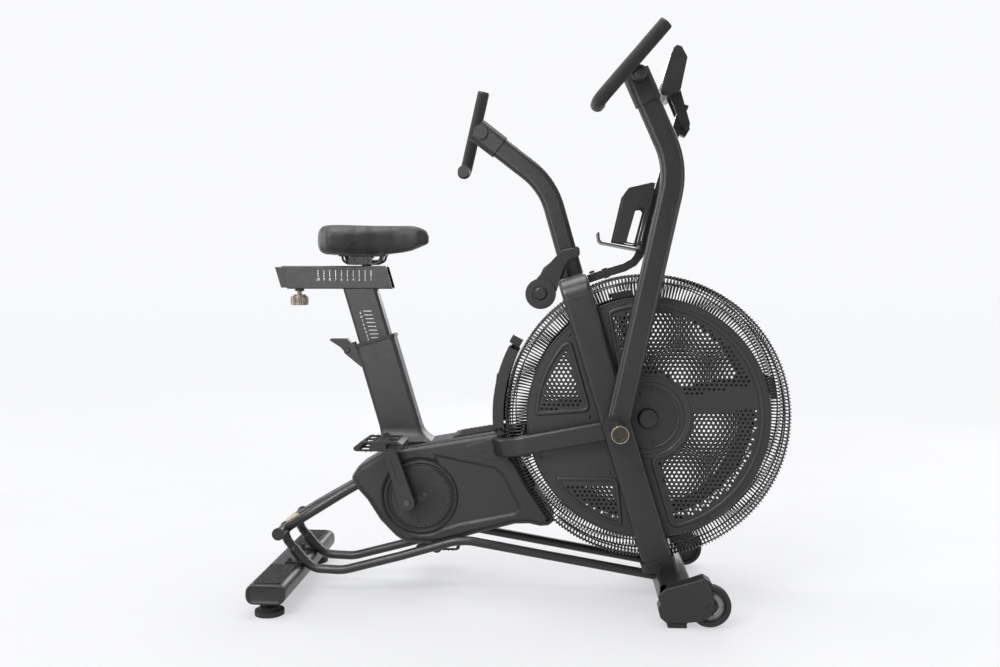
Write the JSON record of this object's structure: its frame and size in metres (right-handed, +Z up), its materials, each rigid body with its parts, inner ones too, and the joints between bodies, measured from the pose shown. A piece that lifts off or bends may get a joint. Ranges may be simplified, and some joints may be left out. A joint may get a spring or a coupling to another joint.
{
  "type": "air bike",
  "caption": "Exercise bike with a caged air-resistance fan wheel, swinging handlebars, pedals, an adjustable saddle, foot pegs, a console and transport wheels.",
  "frame": {"origin": "centre of the overall box on the floor", "axes": "+X towards the fan end (the way the rider faces), +Y to the rider's left, +Z up"},
  "size_m": [1.338, 0.58, 1.4199],
  "materials": {
    "frame_black": "satin powder coat",
    "bracket_black": "satin powder coat",
    "plate_black": "matte powder coat",
    "wire_black": "satin powder coat",
    "crank_black": "black anodised",
    "carry_metal": "satin",
    "shroud_plastic": "fine moulded texture",
    "plastic_black": "fine moulded texture",
    "nylon_black": "plain",
    "pedal_plastic": "moulded",
    "grip_rubber": "ribbed",
    "rubber": "matte",
    "belt_rubber": "ribbed",
    "wheel_rubber": "smooth",
    "foam": "fine closed-cell grain",
    "saddle_skin": "smooth soft sheen",
    "peg_grey": "satin bronze grey",
    "brass_ring": "brushed",
    "knob_metal": "knurled",
    "bolt_black": "black oxide",
    "steel": "turned",
    "alloy": "cast",
    "screen": "gloss",
    "button_grey": "satin"
  },
  "bodies": {
    "frame": {"front_frame": "frame_black", "side_loop_tube": "frame_black", "stabilizers": "frame_black", "stabilizer_brackets": "bracket_black", "feet": "rubber", "main_beam": "frame_black", "seat_mast": "frame_black", "mast_bush": "nylon_black", "rear_tubes": "frame_black", "tube_end_caps": "plastic_black", "step_pads": "grip_rubber", "carry_bar": "carry_metal", "right_shroud": "shroud_plastic", "left_shroud": "shroud_plastic", "shroud_trim": "plastic_black", "side_plates": "plate_black", "cage_guards": "wire_black", "cage_stays": "bracket_black", "hub_covers": "plastic_black", "wind_guard": "plastic_black", "console_mast": "frame_black", "tray": "bracket_black", "hinge_brackets": "bracket_black", "fixed_shafts": "steel", "foot_pegs": "peg_grey", "peg_end_rings": "brass_ring", "fasteners": "bolt_black", "bearings_and_bushes": "steel", "drive_belts": "belt_rubber"},
    "arm_lock": {"arm_lock_lever": "bracket_black"},
    "right_wheel": {"right_transport_wheel": "wheel_rubber"},
    "left_wheel": {"left_transport_wheel": "wheel_rubber"},
    "fan": {"fan_wheel": "plate_black", "fan_hub_parts": "steel"},
    "jackshaft_set": {"jackshaft": "steel"},
    "crankset": {"crank_spindle": "steel", "crank_arms": "crank_black", "crank_pulley": "alloy"},
    "right_pedal_body": {"right_pedal": "pedal_plastic"},
    "left_pedal_body": {"left_pedal": "pedal_plastic"},
    "right_arm_body": {"right_arm": "frame_black", "right_arm_trim": "plastic_black", "right_handle": "frame_black", "right_foam_grip": "foam"},
    "left_arm_body": {"left_arm": "frame_black", "left_arm_trim": "plastic_black", "left_handle": "frame_black", "left_foam_grip": "foam"},
    "seat_post_body": {"seat_post": "frame_black", "slider_tube": "frame_black"},
    "knob": {"slider_knob": "knob_metal"},
    "saddle": {"slider_bar": "frame_black", "saddle_clamp": "bracket_black", "saddle_base": "plastic_black", "saddle_pad": "saddle_skin"},
    "latch": {"latch_lever": "plastic_black"},
    "console": {"console_housing": "plastic_black", "console_screen": "screen"},
    "left_key": {"button_left": "button_grey"},
    "right_key": {"button_right": "button_grey"}
  },
  "joints": [
    {"name": "fan_spin", "type": "hinge", "parent": "frame", "child": "fan", "pos_m": [0.309, 0, 0.475], "axis": [0, 1, 0], "continuous": true},
    {"name": "jackshaft_spin", "type": "hinge", "parent": "frame", "child": "jackshaft_set", "pos_m": [-0.112, 0, 0.288], "axis": [0, 1, 0], "continuous": true},
    {"name": "crank_spin", "type": "hinge", "parent": "frame", "child": "crankset", "pos_m": [-0.2995, 0, 0.25], "axis": [0, 1, 0], "continuous": true},
    {"name": "right_pedal_spin", "type": "hinge", "parent": "crankset", "child": "right_pedal_body", "pos_m": [-0.35294, -0.15, 0.41349], "axis": [0, 1, 0], "continuous": true},
    {"name": "left_pedal_spin", "type": "hinge", "parent": "crankset", "child": "left_pedal_body", "pos_m": [-0.24606, 0.15, 0.08651], "axis": [0, 1, 0], "continuous": true},
    {"name": "right_arm_swing", "type": "hinge", "parent": "frame", "child": "right_arm_body", "pos_m": [0.2295, -0.166, 0.462], "axis": [0, 1, 0], "range_deg": [-28.2, 0]},
    {"name": "left_arm_swing", "type": "hinge", "parent": "frame", "child": "left_arm_body", "pos_m": [0.2295, 0.166, 0.462], "axis": [0, 1, 0], "range_deg": [0, 28.2]},
    {"name": "seat_height", "type": "slide", "parent": "frame", "child": "seat_post_body", "axis": [-0.2807, 0, 0.9598], "range_m": [-0.1, 0.1]},
    {"name": "saddle_fore_aft", "type": "slide", "parent": "seat_post_body", "child": "saddle", "axis": [1, 0, 0], "range_m": [-0.12, 0.015]},
    {"name": "slider_knob_turn", "type": "hinge", "parent": "seat_post_body", "child": "knob", "pos_m": [-0.597, 0, 0.765], "axis": [0, 0, 1], "range_deg": [0, 180]},
    {"name": "latch_lift", "type": "hinge", "parent": "frame", "child": "latch", "pos_m": [-0.4675, 0, 0.635], "axis": [0, 1, 0], "range_deg": [0, 30], "stiffness_Nm_per_rad": 0.08, "springref_deg": -17.19},
    {"name": "arm_lock_turn", "type": "hinge", "parent": "frame", "child": "arm_lock", "pos_m": [0.092, 0.088, 0.858], "axis": [0, 1, 0], "range_deg": [0, 20]},
    {"name": "right_wheel_spin", "type": "hinge", "parent": "frame", "child": "right_wheel", "pos_m": [0.444, -0.249, 0.053], "axis": [0, 1, 0], "continuous": true},
    {"name": "left_wheel_spin", "type": "hinge", "parent": "frame", "child": "left_wheel", "pos_m": [0.444, 0.249, 0.053], "axis": [0, 1, 0], "continuous": true},
    {"name": "console_tilt", "type": "hinge", "parent": "frame", "child": "console", "pos_m": [0.405, 0, 1.203], "axis": [0, 1, 0], "range_deg": [-10, 12]},
    {"name": "left_key_press", "type": "slide", "parent": "console", "child": "left_key", "axis": [0.9573, 0, -0.289], "range_m": [0, 0.0015], "stiffness_N_per_m": 300},
    {"name": "right_key_press", "type": "slide", "parent": "console", "child": "right_key", "axis": [0.9573, 0, -0.289], "range_m": [0, 0.0015], "stiffness_N_per_m": 300}
  ],
  "couplings": [
    {"joint": "jackshaft_spin", "follows": "fan_spin", "ratio": 0.5},
    {"joint": "crank_spin", "follows": "fan_spin", "ratio": 0.125},
    {"joint": "left_arm_swing", "follows": "right_arm_swing", "ratio": -1}
  ]
}
